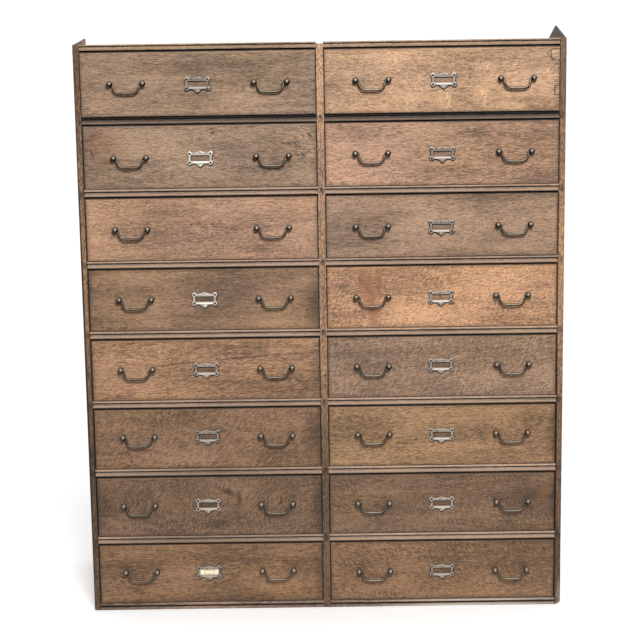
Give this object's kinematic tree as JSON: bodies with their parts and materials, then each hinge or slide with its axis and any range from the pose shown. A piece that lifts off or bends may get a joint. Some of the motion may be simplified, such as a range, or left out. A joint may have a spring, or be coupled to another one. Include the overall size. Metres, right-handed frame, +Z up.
{
  "type": "drawer cabinet",
  "caption": "Tall floor-standing oak flight of drawers with moulded rails, swinging brass bail handles on ball posts and cast label frames; every drawer slides out.",
  "frame": {"origin": "middle of the base, on the floor", "axes": "+Z up; the drawers open towards -Y; +X is to the right of someone facing the drawers"},
  "size_m": [1.35, 0.516, 1.652],
  "materials": {
    "oak_carcass": "worn wax",
    "oak_drawer": "worn wax",
    "pine_inside": "bare, aged",
    "old_brass": "aged, rubbed bright",
    "card": "matt paper card"
  },
  "bodies": {
    "carcass": {"left_side": "oak_carcass", "right_side": "oak_carcass", "centre_divider": "oak_carcass", "top_board": "oak_carcass", "floor_boards": "pine_inside", "back_boards": "pine_inside", "top_rails": "oak_carcass", "front_rails": "oak_carcass", "base_rails": "oak_carcass", "drawer_runners": "pine_inside", "drawer_stops": "pine_inside"},
    "drawer_left_1": {"drawer_left_1": "oak_drawer", "fittings_left_1": "old_brass"},
    "bails_left_1": {"bails_left_1": "old_brass"},
    "drawer_left_2": {"drawer_left_2": "oak_drawer", "fittings_left_2": "old_brass"},
    "bails_left_2": {"bails_left_2": "old_brass"},
    "drawer_left_3": {"drawer_left_3": "oak_drawer", "fittings_left_3": "old_brass"},
    "bails_left_3": {"bails_left_3": "old_brass"},
    "drawer_left_4": {"drawer_left_4": "oak_drawer", "fittings_left_4": "old_brass"},
    "bails_left_4": {"bails_left_4": "old_brass"},
    "drawer_left_5": {"drawer_left_5": "oak_drawer", "fittings_left_5": "old_brass"},
    "bails_left_5": {"bails_left_5": "old_brass"},
    "drawer_left_6": {"drawer_left_6": "oak_drawer", "fittings_left_6": "old_brass"},
    "bails_left_6": {"bails_left_6": "old_brass"},
    "drawer_left_7": {"drawer_left_7": "oak_drawer", "fittings_left_7": "old_brass"},
    "bails_left_7": {"bails_left_7": "old_brass"},
    "drawer_left_8": {"drawer_left_8": "oak_drawer", "fittings_left_8": "old_brass", "paper_card": "card"},
    "bails_left_8": {"bails_left_8": "old_brass"},
    "drawer_right_1": {"drawer_right_1": "oak_drawer", "fittings_right_1": "old_brass"},
    "bails_right_1": {"bails_right_1": "old_brass"},
    "drawer_right_2": {"drawer_right_2": "oak_drawer", "fittings_right_2": "old_brass"},
    "bails_right_2": {"bails_right_2": "old_brass"},
    "drawer_right_3": {"drawer_right_3": "oak_drawer", "fittings_right_3": "old_brass"},
    "bails_right_3": {"bails_right_3": "old_brass"},
    "drawer_right_4": {"drawer_right_4": "oak_drawer", "fittings_right_4": "old_brass"},
    "bails_right_4": {"bails_right_4": "old_brass"},
    "drawer_right_5": {"drawer_right_5": "oak_drawer", "fittings_right_5": "old_brass"},
    "bails_right_5": {"bails_right_5": "old_brass"},
    "drawer_right_6": {"drawer_right_6": "oak_drawer", "fittings_right_6": "old_brass"},
    "bails_right_6": {"bails_right_6": "old_brass"},
    "drawer_right_7": {"drawer_right_7": "oak_drawer", "fittings_right_7": "old_brass"},
    "bails_right_7": {"bails_right_7": "old_brass"},
    "drawer_right_8": {"drawer_right_8": "oak_drawer", "fittings_right_8": "old_brass"},
    "bails_right_8": {"bails_right_8": "old_brass"}
  },
  "joints": [
    {"name": "slide_left_1", "type": "slide", "parent": "carcass", "child": "drawer_left_1", "axis": [0, -1, 0], "range_m": [-0.012, 0.348]},
    {"name": "swing_left_1", "type": "hinge", "parent": "drawer_left_1", "child": "bails_left_1", "pos_m": [-0.3335, -0.269, 1.5103], "axis": [-1, 0, 0], "range_deg": [-37, 217]},
    {"name": "slide_left_2", "type": "slide", "parent": "carcass", "child": "drawer_left_2", "axis": [0, -1, 0], "range_m": [0, 0.36]},
    {"name": "swing_left_2", "type": "hinge", "parent": "drawer_left_2", "child": "bails_left_2", "pos_m": [-0.3335, -0.257, 1.3078], "axis": [-1, 0, 0], "range_deg": [-37, 217]},
    {"name": "slide_left_3", "type": "slide", "parent": "carcass", "child": "drawer_left_3", "axis": [0, -1, 0], "range_m": [-0.005, 0.355]},
    {"name": "swing_left_3", "type": "hinge", "parent": "drawer_left_3", "child": "bails_left_3", "pos_m": [-0.3335, -0.262, 1.1103], "axis": [-1, 0, 0], "range_deg": [-37, 217]},
    {"name": "slide_left_4", "type": "slide", "parent": "carcass", "child": "drawer_left_4", "axis": [0, -1, 0], "range_m": [0, 0.36]},
    {"name": "swing_left_4", "type": "hinge", "parent": "drawer_left_4", "child": "bails_left_4", "pos_m": [-0.3335, -0.257, 0.9123], "axis": [-1, 0, 0], "range_deg": [-37, 217]},
    {"name": "slide_left_5", "type": "slide", "parent": "carcass", "child": "drawer_left_5", "axis": [0, -1, 0], "range_m": [0, 0.36]},
    {"name": "swing_left_5", "type": "hinge", "parent": "drawer_left_5", "child": "bails_left_5", "pos_m": [-0.3335, -0.257, 0.7128], "axis": [-1, 0, 0], "range_deg": [-37, 217]},
    {"name": "slide_left_6", "type": "slide", "parent": "carcass", "child": "drawer_left_6", "axis": [0, -1, 0], "range_m": [0, 0.36]},
    {"name": "swing_left_6", "type": "hinge", "parent": "drawer_left_6", "child": "bails_left_6", "pos_m": [-0.3335, -0.257, 0.5173], "axis": [-1, 0, 0], "range_deg": [-37, 217]},
    {"name": "slide_left_7", "type": "slide", "parent": "carcass", "child": "drawer_left_7", "axis": [0, -1, 0], "range_m": [0, 0.36]},
    {"name": "swing_left_7", "type": "hinge", "parent": "drawer_left_7", "child": "bails_left_7", "pos_m": [-0.3335, -0.257, 0.3158], "axis": [-1, 0, 0], "range_deg": [-37, 217]},
    {"name": "slide_left_8", "type": "slide", "parent": "carcass", "child": "drawer_left_8", "axis": [0, -1, 0], "range_m": [0, 0.36]},
    {"name": "swing_left_8", "type": "hinge", "parent": "drawer_left_8", "child": "bails_left_8", "pos_m": [-0.3335, -0.257, 0.1178], "axis": [-1, 0, 0], "range_deg": [-37, 217]},
    {"name": "slide_right_1", "type": "slide", "parent": "carcass", "child": "drawer_right_1", "axis": [0, -1, 0], "range_m": [-0.012, 0.348]},
    {"name": "swing_right_1", "type": "hinge", "parent": "drawer_right_1", "child": "bails_right_1", "pos_m": [0.3335, -0.269, 1.5108], "axis": [-1, 0, 0], "range_deg": [-37, 217]},
    {"name": "slide_right_2", "type": "slide", "parent": "carcass", "child": "drawer_right_2", "axis": [0, -1, 0], "range_m": [-0.005, 0.355]},
    {"name": "swing_right_2", "type": "hinge", "parent": "drawer_right_2", "child": "bails_right_2", "pos_m": [0.3335, -0.262, 1.3118], "axis": [-1, 0, 0], "range_deg": [-37, 217]},
    {"name": "slide_right_3", "type": "slide", "parent": "carcass", "child": "drawer_right_3", "axis": [0, -1, 0], "range_m": [-0.005, 0.355]},
    {"name": "swing_right_3", "type": "hinge", "parent": "drawer_right_3", "child": "bails_right_3", "pos_m": [0.3335, -0.262, 1.1098], "axis": [-1, 0, 0], "range_deg": [-37, 217]},
    {"name": "slide_right_4", "type": "slide", "parent": "carcass", "child": "drawer_right_4", "axis": [0, -1, 0], "range_m": [0, 0.36]},
    {"name": "swing_right_4", "type": "hinge", "parent": "drawer_right_4", "child": "bails_right_4", "pos_m": [0.3335, -0.257, 0.9113], "axis": [-1, 0, 0], "range_deg": [-37, 217]},
    {"name": "slide_right_5", "type": "slide", "parent": "carcass", "child": "drawer_right_5", "axis": [0, -1, 0], "range_m": [0, 0.36]},
    {"name": "swing_right_5", "type": "hinge", "parent": "drawer_right_5", "child": "bails_right_5", "pos_m": [0.3335, -0.257, 0.7138], "axis": [-1, 0, 0], "range_deg": [-37, 217]},
    {"name": "slide_right_6", "type": "slide", "parent": "carcass", "child": "drawer_right_6", "axis": [0, -1, 0], "range_m": [0, 0.36]},
    {"name": "swing_right_6", "type": "hinge", "parent": "drawer_right_6", "child": "bails_right_6", "pos_m": [0.3335, -0.257, 0.5163], "axis": [-1, 0, 0], "range_deg": [-37, 217]},
    {"name": "slide_right_7", "type": "slide", "parent": "carcass", "child": "drawer_right_7", "axis": [0, -1, 0], "range_m": [0, 0.36]},
    {"name": "swing_right_7", "type": "hinge", "parent": "drawer_right_7", "child": "bails_right_7", "pos_m": [0.3335, -0.257, 0.3143], "axis": [-1, 0, 0], "range_deg": [-37, 217]},
    {"name": "slide_right_8", "type": "slide", "parent": "carcass", "child": "drawer_right_8", "axis": [0, -1, 0], "range_m": [0, 0.36]},
    {"name": "swing_right_8", "type": "hinge", "parent": "drawer_right_8", "child": "bails_right_8", "pos_m": [0.3335, -0.257, 0.1113], "axis": [-1, 0, 0], "range_deg": [-37, 217]}
  ]
}
